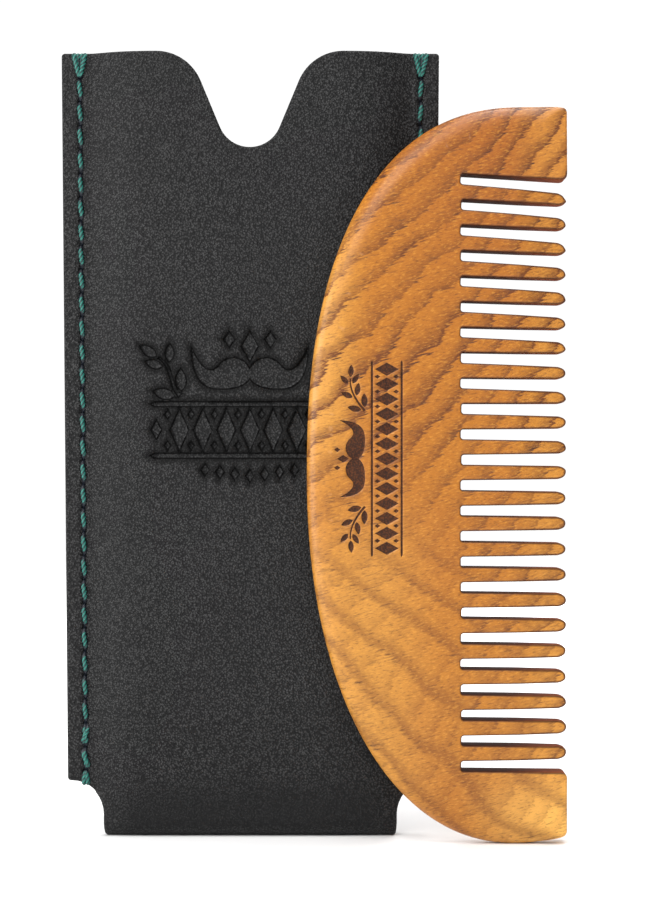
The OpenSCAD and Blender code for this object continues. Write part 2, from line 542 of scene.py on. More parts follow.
class Value:
    """A number that varies over a surface and takes part in ordinary arithmetic."""

    def __init__(self, bench: "Bench", socket: bpy.types.NodeSocket) -> None:
        """Wraps an output socket of a bench's node tree."""
        self.bench = bench
        self.socket = socket

    def _with(self, operation: str, *others: "Value | float") -> "Value":
        """A Math node on this value and others."""
        return self.bench.maths(operation, self, *others)

    def __add__(self, other: "Value | float") -> "Value":
        """Sum."""
        return self._with("ADD", other)

    __radd__ = __add__

    def __sub__(self, other: "Value | float") -> "Value":
        """Difference."""
        return self._with("SUBTRACT", other)

    def __rsub__(self, other: float) -> "Value":
        """Difference from a plain number."""
        return self.bench.maths("SUBTRACT", other, self)

    def __mul__(self, other: "Value | float") -> "Value":
        """Product."""
        return self._with("MULTIPLY", other)

    __rmul__ = __mul__

    def __truediv__(self, other: "Value | float") -> "Value":
        """Quotient."""
        return self._with("DIVIDE", other)

    def fraction(self) -> "Value":
        """What is left past the last whole number."""
        return self._with("FRACT")

    def size(self) -> "Value":
        """Absolute value."""
        return self._with("ABSOLUTE")

    def most(self, other: "Value | float") -> "Value":
        """The larger of two."""
        return self._with("MAXIMUM", other)

    def least(self, other: "Value | float") -> "Value":
        """The smaller of two."""
        return self._with("MINIMUM", other)

    def rise(self, low: float, high: float) -> "Value":
        """A smooth step, which may run backwards.

        Args:
            low: where it is 0.
            high: where it is 1, on either side of low.

        Returns:
            The step, from 0 to 1.
        """
        if low > high:
            return 1.0 - self.rise(high, low)
        node = self.bench.node(
            "ShaderNodeMapRange", {"interpolation_type": "SMOOTHSTEP"},
            {"Value": self, "From Min": low, "From Max": high},
        )
        return Value(self.bench, node.outputs["Result"])


class Bench:
    """Writes the nodes of one material or of the world."""

    def __init__(self, owner: bpy.types.Material | bpy.types.World) -> None:
        """Clears a node tree, ready for new nodes.

        Args:
            owner: the material or world that holds the tree.
        """
        owner.use_nodes = True
        self.owner = owner
        self.tree = owner.node_tree
        self.tree.nodes.clear()

    def node(self, kind: str, settings: dict[str, Any], inputs: dict[Any, Any]) -> bpy.types.Node:
        """Adds a node.

        Args:
            kind: the node's type.
            settings: its properties, which are set first.
            inputs: what its sockets hold or are linked to, by name or number.

        Returns:
            The node.
        """
        node = self.tree.nodes.new(kind)
        for key, value in settings.items():
            setattr(node, key, value)
        for key, value in inputs.items():
            socket = node.inputs[key]
            if isinstance(value, Value):
                self.tree.links.new(value.socket, socket)
            elif isinstance(value, bpy.types.NodeSocket):
                self.tree.links.new(value, socket)
            else:
                socket.default_value = value
        return node

    def maths(self, operation: str, *values: Value | float) -> Value:
        """A Math node on one, two or three numbers."""
        node = self.node("ShaderNodeMath", {"operation": operation}, dict(enumerate(values)))
        return Value(self, node.outputs[0])

    def attribute(self, name: str) -> Value:
        """A number stored on the mesh."""
        node = self.node("ShaderNodeAttribute", {"attribute_name": name}, {})
        return Value(self, node.outputs["Fac"])

    def place(self) -> tuple[Value, Value, Value]:
        """The surface point.

        Returns:
            Its place in the part's own frame, in millimetres.
        """
        point = self.node("ShaderNodeTexCoord", {}, {}).outputs["Object"]
        parts = self.node("ShaderNodeSeparateXYZ", {}, {0: point})
        return tuple(Value(self, parts.outputs[i]) / MM for i in range(3))

    def vector(self, x: Value | float, y: Value | float, z: Value | float) -> bpy.types.NodeSocket:
        """Three numbers as a vector."""
        return self.node("ShaderNodeCombineXYZ", {}, {0: x, 1: y, 2: z}).outputs[0]

    def noise(self, at: bpy.types.NodeSocket, scale: float, detail: float = 2.0, rough: float = 0.5) -> Value:
        """Cloudy noise about 0.5.

        Args:
            at: the point, in millimetres.
            scale: its lumps are about 1/scale across.
            detail: how many finer octaves it has.
            rough: how strong they are.

        Returns:
            The noise.
        """
        node = self.node(
            "ShaderNodeTexNoise", {}, {"Vector": at, "Scale": scale, "Detail": detail, "Roughness": rough})
        return Value(self, node.outputs["Fac"])

    def pebbles(self, at: bpy.types.NodeSocket, scale: float, soft: float) -> Value:
        """Distance from the middle of each of a field of irregular pebbles.

        Args:
            at: the point, in millimetres.
            scale: the pebbles are about 1/scale across.
            soft: how softly they run into each other, from 0 to 1.

        Returns:
            The distance.
        """
        node = self.node(
            "ShaderNodeTexVoronoi", {"feature": "SMOOTH_F1"},
            {"Vector": at, "Scale": scale, "Smoothness": soft},
        )
        return Value(self, node.outputs["Distance"])

    def blend(self, share: Value | float, first: Any, second: Any) -> bpy.types.NodeSocket:
        """Two colours mixed.

        Args:
            share: how much of the second, from 0 to 1.
            first: the colour, or the socket that gives it, at 0.
            second: the colour or socket at 1.

        Returns:
            The mixed colour's socket.
        """
        node = self.node(
            "ShaderNodeMix", {"data_type": "RGBA", "clamp_factor": True}, {0: share, 6: first, 7: second})
        return node.outputs[2]

    def bump(self, height: Value, distance: float, strength: float) -> bpy.types.NodeSocket:
        """A surface normal from a height.

        Args:
            height: from 0 to 1.
            distance: how many millimetres the whole height stands for.
            strength: how much of it shows.

        Returns:
            The normal's socket.
        """
        node = self.node(
            "ShaderNodeBump", {}, {"Strength": strength, "Distance": distance * MM, "Height": height})
        return node.outputs["Normal"]

    def finish(self, **inputs: Any) -> bpy.types.Material:
        """Ends the material in one Principled shader.

        Args:
            **inputs: what its sockets hold or are linked to, with underscores for the spaces in their names.

        Returns:
            The finished material.
        """
        named = {key.replace("_", " "): value for key, value in inputs.items()}
        shader = self.node("ShaderNodeBsdfPrincipled", {}, named)
        self.node("ShaderNodeOutputMaterial", {}, {"Surface": shader.outputs[0]})
        return self.owner


def material_bench(name: str) -> Bench:
    """A bench for a new material of that name."""
    return Bench(bpy.data.materials.new(name))


# ---- Finishes ----


@dataclass(frozen=True)
class OiledWood:
    """Warm oiled wood with slanting dark streaks, pores, scorched saw slots, a burnt ornament and a painted
    highlight along the rounded spine.
    """

    spine_x: float
    root_across: float
    lowest_slot: float
    top_slot: float
    streak_pitch: float = 6.4
    streak_slope: float = 0.53
    streak_curl: float = 0.011
    pore_lean: float = 14.0
    gold: Colour = srgb(170, 104, 28)
    honey: Colour = srgb(175, 111, 32)
    russet: Colour = srgb(152, 86, 28)
    # Straw lightens the wood low down by the teeth, and it is also the colour of the painted spine highlight.
    straw_tone_and_highlight: Colour = srgb(228, 172, 82)
    light: Colour = srgb(224, 160, 68)
    streak: Colour = srgb(102, 52, 15)
    pore: Colour = srgb(56, 24, 9)
    scorch: Colour = srgb(66, 32, 17)
    ember: Colour = srgb(126, 60, 26)
    burn: Colour = srgb(40, 18, 10)

    def material(self) -> bpy.types.Material:
        """Writes the finish's nodes.

        Returns:
            The material.
        """
        b = material_bench("oiled_wood")
        x, y, z = b.place()
        across = x - self.spine_x
        at = b.vector(across, y, z)
        c, s = math.cos(math.radians(self.pore_lean)), math.sin(math.radians(self.pore_lean))
        along = across * c + z * s
        over = z * c - across * s
        torn = b.noise(b.vector(along * 0.30, y * 0.5, over * 2.6), 1.0, 3.0, 0.6)
        fine = b.noise(b.vector(along * 1.1, y * 0.8, over * 3.6), 1.0, 3.0, 0.65)
        cloud = b.noise(at, 0.045, 2.0)
        line = z - across * self.streak_slope - across * across * self.streak_curl + y * 0.5
        line = line + (cloud - 0.5) * 13.0 + (b.noise(at, 0.16, 2.0) - 0.5) * 5.0 + (torn - 0.5) * 4.6
        turn = (line / self.streak_pitch).fraction()
        core = turn.rise(0.0, 0.07) * turn.rise(0.30, 0.12)
        band = core.most(turn.rise(0.0, 0.12) * turn.rise(0.68, 0.22) * 0.60)
        upper = z.rise(50.0, 76.0)
        strength = b.noise(at, 0.075, 1.0).rise(0.32, 0.54) * 0.42 + 0.58
        teeth = across.rise(self.root_across - 3.0, self.root_across + 4.0) * z.rise(11.0, 15.0)
        streaks = band * strength * (upper * 0.70 + 0.30).most(teeth * 0.74)
        wave = (z + across * 0.85 + (cloud - 0.5) * 16.0 + (torn - 0.5) * 3.0) / 8.5
        swing = wave.fraction()
        arch = swing.rise(0.0, 0.2) * swing.rise(0.6, 0.22) * z.rise(64.0, 40.0)
        streaks = streaks.most(arch * (0.50 - teeth * 0.22))
        pores = torn.rise(0.57, 0.68) * (0.34 + streaks * 1.0 + across.rise(22.0, 6.0) * 0.30)
        specks = fine.rise(0.54, 0.67) * 0.40
        grit_light = fine.rise(0.47, 0.34) * 0.30
        base = b.blend(z.rise(8.0, 62.0), self.honey, self.gold)
        base = b.blend(z.rise(64.0, 122.0) * across.rise(4.0, 34.0) * 0.85, base, self.russet)
        base = b.blend(z.rise(16.0, 4.0) * across.rise(24.0, 40.0), base, self.straw_tone_and_highlight)
        base = b.blend(cloud.rise(0.42, 0.66) * 0.30, base, self.russet)
        # Painted highlight: the wood is lightened towards straw near the rounded spine over the comb's upper
        # half.
        flank = across.rise(12.0, 2.0) * z.rise(52.0, 78.0) * z.rise(124.0, 104.0)
        base = b.blend(flank * 0.42, base, self.straw_tone_and_highlight)
        # Painted highlight along the spine's lower half, in the same straw.
        base = b.blend(z.rise(66.0, 44.0) * across.rise(26.0, 10.0) * 0.30, base, self.straw_tone_and_highlight)
        base = b.blend(across.rise(self.root_across + 7.0, self.root_across + 16.0) * 0.30, base, self.light)
        base = b.blend((streaks * 0.98).least(1.0), base, self.streak)
        base = b.blend((pores * 0.60).least(0.85), base, self.pore)
        base = b.blend(specks, base, self.pore)
        zone = across.rise(self.root_across - 0.5, self.root_across - 0.1)
        zone = zone * z.rise(self.lowest_slot - 1.6, self.lowest_slot - 1.2)
        zone = zone * z.rise(self.top_slot + 1.6, self.top_slot + 1.2)
        edge = b.attribute("edge")
        outward = across.rise(self.root_across + 7.0, self.root_across + 15.0)
        char = edge.rise(0.12, 0.72) * (1.0 - outward) + edge.rise(0.02, 0.40) * outward
        char = zone * char * (0.96 - outward * 0.12)
        base = b.blend(char, base, self.scorch)
        base = b.blend(grit_light * (1.0 - char), base, self.light)
        stamp = b.attribute("stamp").rise(0.25, 0.75)
        grit = b.noise(at, 3.2, 2.0)
        burnt = b.blend(grit.rise(0.40, 0.70) * 0.55, self.burn, self.streak)
        base = b.blend(stamp * 0.97, base, burnt)
        height = 1.0 - pores * 0.55 - specks * 0.5 - streaks * 0.15 + (0.5 - fine) * 0.4
        height = height + stamp * (grit - 0.5) * 0.8
        rough = 0.40 + (fine - 0.5) * 0.16 + streaks * 0.08 + stamp * 0.35 + char * 0.45
        return b.finish(
            Base_Color=base, Roughness=rough, Normal=b.bump(height, 0.06, 0.8), Specular_IOR_Level=0.28,
            Coat_Weight=(0.22 - stamp * 0.21) * (1.0 - char), Coat_Roughness=0.24,
        )

    def scorched(self) -> bpy.types.Material:
        """The saw's burnt walls, black-brown at the roots and redder towards the tips.

        Returns:
            The material.
        """
        b = material_bench("scorched_wood")
        x, y, z = b.place()
        across = x - self.spine_x
        saw_marks = b.noise(b.vector(x * 0.8, y * 0.6, z * 2.0), 1.0, 3.0, 0.6)
        redder = across.rise(self.root_across + 5.0, self.root_across + 17.0)
        colour = b.blend((redder * 0.9 + (saw_marks - 0.5) * 1.2).least(1.0), self.scorch, self.ember)
        return b.finish(
            Base_Color=colour, Roughness=0.92, Specular_IOR_Level=0.08, Normal=b.bump(saw_marks, 0.05, 0.7))


@dataclass(frozen=True)
class GrainLeather:
    """Charcoal leather: pebble grain, painted edges, pressed ornament, napped inside, and painted shade in
    pits, pressings and towards the fold.
    """

    top: Colour = srgb(70, 70, 70)
    # The darkest leather tone. It is also the colour of the painted shade in the pits and towards the fold.
    pit_tone_and_shade: Colour = srgb(10, 10, 11)
    # Near black for the pressings. This is partly the leather's pressed colour and partly painted shade in
    # the pressed hollows.
    pressed: Colour = srgb(1, 1, 1)
    paint: Colour = srgb(14, 14, 15)
    nap: Colour = srgb(60, 56, 52)
    pebble: float = 2.9
    middle_x: float = 0.0

    def material(self) -> bpy.types.Material:
        """Writes the finish's nodes.

        Returns:
            The material.
        """
        b = material_bench("grain_leather")
        x, y, z = b.place()
        at = b.vector(x, y, z)
        bend = b.noise(at, 0.9, 2.0)
        cell = b.pebbles(at, self.pebble, 0.25)
        fine = b.noise(at, 3.4, 3.0, 0.65)
        hills = (1.0 - cell * 1.3) * 0.85 + (fine - 0.5) * 0.9 + (bend - 0.5) * 0.3
        patch = b.noise(at, 0.05, 2.0)
        edge, stamp, face = b.attribute("edge"), b.attribute("stamp"), b.attribute("face")
        # Darker in the pebble grain's pits and lighter on its tops. This is partly the leather's own grain
        # tone and partly painted shade in the pits.
        grain = hills.rise(0.10, 1.0)
        colour = b.blend(grain, self.pit_tone_and_shade, self.top)
        # Random cloudy darker patches of the leather's tone, plus painted shade that darkens the leather
        # towards the fold at the foot.
        colour = b.blend((patch - 0.35) * 0.5 + z.rise(13.0, 3.0) * 0.3, colour, self.pit_tone_and_shade)
        # Painted shade: a dark patch low on the front panel, where the pocket's bulge curves down to the
        # fold.
        painted_foot_shade = z.rise(13.0, 5.0) * z.rise(0.9, 2.6) * (x - self.middle_x).size().rise(24.5, 19.5)
        colour = b.blend(painted_foot_shade * 0.62, colour, self.pit_tone_and_shade)
        # The pressed walls, the sunken halo round each pressing and the pressed floors are darkened towards
        # near black. This is partly pressed leather and partly painted shade in the hollows.
        wall = stamp.rise(0.02, 0.45) * stamp.rise(1.0, 0.7)
        pull = b.attribute("pull") * stamp.rise(1.0, 0.8)
        colour = b.blend(pull.rise(0.15, 1.0) * 0.75, colour, self.pressed)
        colour = b.blend(wall * 0.95 + stamp.rise(0.5, 0.9) * 0.10, colour, self.pressed)
        inner = face.rise(-0.2, -0.6)
        nap = b.noise(at, 9.0, 4.0, 0.7)
        colour = b.blend(inner, colour, b.blend(nap, self.pit_tone_and_shade, self.nap))
        rim = edge.rise(0.80, 0.98)
        colour = b.blend(rim, colour, self.paint)
        rough = 0.54 + pull * 0.25 + wall * 0.3 - grain * 0.10 + (fine - 0.5) * 0.15 - stamp * 0.08
        rough = rough + inner * 0.35 - rim * 0.14
        height = hills * (1.0 - rim * 0.85) * (1.0 - stamp * 0.45) * (1.0 - inner) + nap * inner * 0.8
        return b.finish(
            Base_Color=colour, Roughness=rough, Specular_IOR_Level=0.2, Normal=b.bump(height, 0.13, 0.95))


@dataclass(frozen=True)
class WaxedThread:
    """Teal twisted thread, with a painted highlight on each ply's crest and painted shade in the grooves and
    at the holes.
    """

    # Crest is the painted highlight colour, groove the painted shade colour, and body the thread's own teal.
    crest: Colour = srgb(72, 164, 144)
    body: Colour = srgb(12, 92, 83)
    groove: Colour = srgb(3, 34, 36)
    # Near black-blue, the colour of the painted shade where the thread dives into a hole.
    deep: Colour = srgb(5, 12, 24)

    def material(self) -> bpy.types.Material:
        """Writes the finish's nodes.

        Returns:
            The material.
        """
        b = material_bench("waxed_thread")
        ridge = b.attribute("ridge")
        fuzz = b.noise(b.vector(*b.place()), 8.0, 3.0, 0.6)
        # Painted shade in the grooves between plies and a painted highlight on each ply's crest, both read
        # from the ply height.
        colour = b.blend(ridge.rise(0.05, 0.6), self.groove, self.body)
        colour = b.blend(ridge.rise(0.75, 1.0) * fuzz.rise(0.35, 0.65) * 0.8, colour, self.crest)
        # Painted shade: the thread darkens where it dives into an awl hole.
        colour = b.blend(b.attribute("painted_hole_shade").rise(0.0, 1.0), colour, self.deep)
        rough = 0.50 + (fuzz - 0.5) * 0.3
        return b.finish(Base_Color=colour, Roughness=rough, Normal=b.bump(fuzz, 0.03, 0.6))


@dataclass(frozen=True)
class WhitePaper:
    """Plain white studio floor with the faintest tooth."""

    tone: float = 0.87
    tooth_tone: float = 0.88

    def material(self) -> bpy.types.Material:
        """Writes the finish's nodes.

        Returns:
            The material.
        """
        b = material_bench("studio_paper")
        tooth = b.noise(b.vector(*b.place()), 0.8, 2.0)
        colour = b.blend(tooth, (*[self.tone] * 3, 1.0), (*[self.tooth_tone] * 3, 1.0))
        return b.finish(Base_Color=colour, Roughness=0.9, Specular_IOR_Level=0.1)


# ---- The comb ----


@dataclass
class Comb:
    """The one-piece wooden comb: rounded spine, end guards and sawn teeth."""

    low: Vector
    high: Vector
    upper_inset: float = 6.8
    upper_fullness: float = 2.38
    lower_inset: float = 9.0
    lower_fullness: float = 2.14
    roll_width: float = 4.2
    roll_depth: float = 2.3
    saw_roll: float = 0.46
    corner_roll: float = 0.55
    corner_run: float = 6.0
    corner_r: float = 0.9
    slot_count: int = 24
    tooth_length: float = 18.2
    tip_back: float = 0.05
    slot_pitch: float = 4.385
    lowest_slot_z: float = 13.5
    root_width: float = 1.75
    mouth_width: float = 2.15
    root_r: float = 0.45
    tip_r: float = 1.0
    tip_stretch: float = 1.7
    tip_zone: float = 1.3
    guard_zone: float = 8.0
    level_slots: int = 12
    top_lean: float = 4.4
    grind_length: float = 8.3
    tip_thickness: float = 3.1
    hand_play: float = 0.03
    ornament_across: float = 11.0
    ornament_z: float = 66.3
    burn_depth: float = 0.12
    outline_step: float = 0.55

    def __post_init__(self) -> None:
        """Works out the comb's main lines."""
        self.thickness = self.high.y - self.low.y
        self.mid_y = (self.high.y + self.low.y) / 2
        self.mid_z = (self.high.z + self.low.z) / 2
        self.edge_x = self.high.x
        self.spine_x = self.low.x
        self.width = self.high.x - self.low.x
        self.root_x = self.edge_x - self.tooth_length
        self.top_slot_z = self.lowest_slot_z + (self.slot_count - 1) * self.slot_pitch

    def crown(self, inset: float, fullness: float, end: int) -> Array:
        """One end's curve from the tooth edge to the spine.

        Args:
            inset: distance from the tooth edge to the curve's furthest point.
            fullness: 2 for an ellipse, and more for a squarer end.
            end: 1 for the upper end and -1 for the lower.

        Returns:
            The points in the comb's plane.
        """
        across, up = self.width - inset, self.mid_z - self.low.z
        cut = math.acos((inset / across) ** (fullness / 2))
        t = np.linspace(cut, math.pi, 110)
        x = np.sign(np.cos(t)) * across * np.abs(np.cos(t)) ** (2 / fullness) - inset
        z = up * np.abs(np.sin(t)) ** (2 / fullness)
        return np.stack([self.edge_x + x, self.mid_z + end * z], 1)

    def lean(self, number: int) -> float:
        """How far a slot leans down towards its mouth, in degrees."""
        return self.top_lean * max(0, number - self.level_slots) / (self.slot_count - 1 - self.level_slots)

    def slot(self, number: int, play: Array) -> Array:
        """One sawn slot's edge, in along its lower side and out along its upper one.

        Args:
            number: the slot, counted from the lower end.
            play: small differences in its place, width and lean, each about 0.

        Returns:
            The points in the comb's plane.
        """
        root, mouth = (w / 2 + play[1] * self.hand_play for w in (self.root_width, self.mouth_width))

        def side(tooth: bool) -> Array:
            """The upper side, next to a tooth or to an end guard.

            Args:
                tooth: whether it is a tooth.

            Returns:
                The points from the root to the mouth.
            """
            length = self.tooth_length - (self.tip_back if tooth else 0.0)
            stretch = self.tip_stretch if tooth else 1.0
            tip = arc([0, 0], self.tip_r, 270, 358, 9) * [stretch, 1]
            return np.vstack([
                arc([self.root_r, root - self.root_r], self.root_r, 180, 90, 4),
                tip + [length - self.tip_r * stretch, mouth + self.tip_r],
            ])

        lower = side(number > 0)[::-1] * [1, -1]
        upper = side(number < self.slot_count - 1)
        at = [self.root_x + play[2] * self.hand_play * 3, self.lowest_slot_z + number * self.slot_pitch]
        lean = self.lean(number) + play[0] * 0.12
        return turned(np.vstack([lower, upper]), -lean) + at

    def softened(self, before: Array, corner: Array, after: Array) -> Array:
        """A corner rounded off between its two neighbours.

        Args:
            before: the point before it.
            corner: the corner.
            after: the point after it.

        Returns:
            The points of the rounding.
        """
        a = corner + unit((before - corner)[None])[0] * self.corner_r
        c = corner + unit((after - corner)[None])[0] * self.corner_r
        t = np.linspace(0, 1, 6)[:, None]
        return (1 - t) ** 2 * a + 2 * (1 - t) * t * corner + t**2 * c

    def outline(self) -> tuple[Array, Array, Array]:
        """The comb's edge.

        Returns:
            Its points, and how wide and how deep the edge is rounded at each.
        """
        upper = self.crown(self.upper_inset, self.upper_fullness, 1)
        lower = self.crown(self.lower_inset, self.lower_fullness, -1)[::-1][1:]
        top, foot = upper[0], lower[-1]
        upper = upper[upper[:, 0] < self.edge_x - self.corner_r]
        lower = lower[lower[:, 0] < self.edge_x - self.corner_r]
        below, above = np.array([self.edge_x, foot[1] + 3]), np.array([self.edge_x, top[1] - 3])
        spine = np.vstack([
            self.softened(above, top, upper[0]), upper, lower, self.softened(lower[-1], foot, below)])
        play = np.random.default_rng(11).uniform(-1, 1, (self.slot_count, 3))
        saw = np.vstack([self.slot(i, play[i]) for i in range(self.slot_count)])
        loop = densified(cleaned(np.vstack([spine, saw])), self.outline_step)
        tips = (loop[:, 0] > self.edge_x - self.tip_zone) & (loop[:, 1] > self.lowest_slot_z)
        tips &= loop[:, 1] < top[1] - self.guard_zone
        for _ in range(3):
            even = (np.roll(loop, 1, 0) + 2 * loop + np.roll(loop, -1, 0)) / 4
            loop = np.where(tips[:, None], even, loop)
        gap = np.minimum(clearance(loop, densified(spine, 0.3)), 1.0)
        on_spine = (gap < 0.2) & (loop[:, 0] < self.edge_x - 0.02)
        share = ease((self.edge_x - loop[:, 0]) / self.corner_run)
        corner = self.corner_roll
        width = np.where(on_spine, corner + (self.roll_width - corner) * share, self.saw_roll)
        depth = np.where(on_spine, corner + (self.roll_depth - corner) * share, self.saw_roll)
        for _ in range(2):
            width = (np.roll(width, 1) + width + np.roll(width, -1)) / 3
            depth = (np.roll(depth, 1) + depth + np.roll(depth, -1)) / 3
        return loop, width, depth

    def half(self, points: Array) -> Array:
        """Half the wood's thickness, which the grinding takes down towards the tooth tips.

        Args:
            points: places in the comb's plane.

        Returns:
            The half thickness at each.
        """
        x, z = points[:, 0], points[:, 1]
        last = self.slot_count - 1
        low = self.lowest_slot_z
        high = self.top_slot_z - (x - self.root_x) * math.tan(math.radians(self.lean(last)))
        taper = np.clip((x - self.edge_x + self.grind_length) / self.grind_length, 0, 1)
        thin = (self.thickness - self.tip_thickness) / 2 * taper
        return self.thickness / 2 - np.where((z > low) & (z < high), thin, 0.0)

    def place(self, points: Array, level: Array) -> Array:
        """A point of the comb's plane, raised towards the front."""
        return np.stack([points[:, 0], self.mid_y - level, points[:, 1]], 1)

    def ornament(self) -> list[Array]:
        """The burnt ornament, which is the right way up when the comb's teeth point down.

        Returns:
            Its loops in the comb's plane.
        """
        kit = Ornament(moustache_half=6.6, moustache_height=5.0, leaf=(2.5, 1.1))
        loops = [kit.moustache() + [0, 2.6]]
        loops += [kit.lozenge([0, 4.75], 1.3, 2.1)]
        loops += [kit.lozenge([side * 1.55, 5.75], 0.8, 1.1) for side in (-1, 1)]
        for hand in (-1, 1):
            stem = bezier([(8.2, 1.0), (10.0, 2.6), (12.2, 3.9), (14.2, 3.4)], 14) * [hand, 1]
            loops += kit.sprig(stem, 0.42, 3, 0.16)
        loops += [kit.lozenge([step * 2.56, -2.75], 2.25, 4.1) for step in range(-6, 7)]
        loops += [kit.lozenge([(step + 0.5) * 2.56, -1.15], 0.7, 1.0) for step in range(-6, 6)]
        loops += [kit.lozenge([(step + 0.5) * 2.56, -4.35], 0.7, 1.0) for step in range(-6, 6)]
        loops += [kit.rule([-16.9, level], [16.9, level], 0.36) for level in (-0.2, -5.3)]
        middle = [self.spine_x + self.ornament_across, self.ornament_z]
        return [anticlockwise(turned(densified(loop, 0.5), 90)) + middle for loop in loops]

    def build(self) -> bpy.types.Object:
        """Makes the comb's mesh and dresses it.

        Returns:
            The comb.
        """
        loop, width, depth = self.outline()
        stamps: list[tuple[Array, float]] = []
        for shape in self.ornament():
            into = inward(shape)
            stamps += [(shape - into * 0.035, 0.0), (shape + into * 0.035, 1.0)]
        marks = np.vstack([s for s, _ in stamps])
        low, high = marks.min(0) - 1, marks.max(0) + 1
        broad = grid([self.spine_x, self.low.z], [self.edge_x, self.high.z], 1.3)
        teeth = grid([self.root_x - 1, self.lowest_slot_z], [self.edge_x, self.top_slot_z], 0.55)
        front = np.vstack([broad, teeth, grid(low, high, 0.5)])
        slab = Slab(
            outline=loop, round_width=width, round_depth=depth, half=self.half, place=self.place,
            loops={Face.UPPER: stamps, Face.UNDER: []},
            points={Face.UPPER: front, Face.UNDER: np.vstack([broad, teeth])},
            sink=lambda at, stamp, face: stamp * self.burn_depth, roll_steps=8, wall_steps=3,
        )
        comb = slab.mesh("wooden_comb")
        finish = OiledWood(self.spine_x, self.width - self.tooth_length, self.lowest_slot_z, self.top_slot_z)
        comb.data.materials.append(finish.material())
        comb.data.materials.append(finish.scorched())
        points, edges = np.vstack(slab.rows), np.concatenate(slab.marks["edge"])
        sawn = (edges > 0.7) & (points[:, 0] > self.root_x - 0.6)
        sawn &= (points[:, 2] > self.lowest_slot_z - 1.4) & (points[:, 2] < self.top_slot_z + 1.4)
        for polygon in comb.data.polygons:
            if len(polygon.vertices) == 4 and sawn[list(polygon.vertices)].all():
                polygon.material_index = 1
        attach(comb, "comb")
        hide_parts("comb")
        return comb


# ---- The sleeve ----


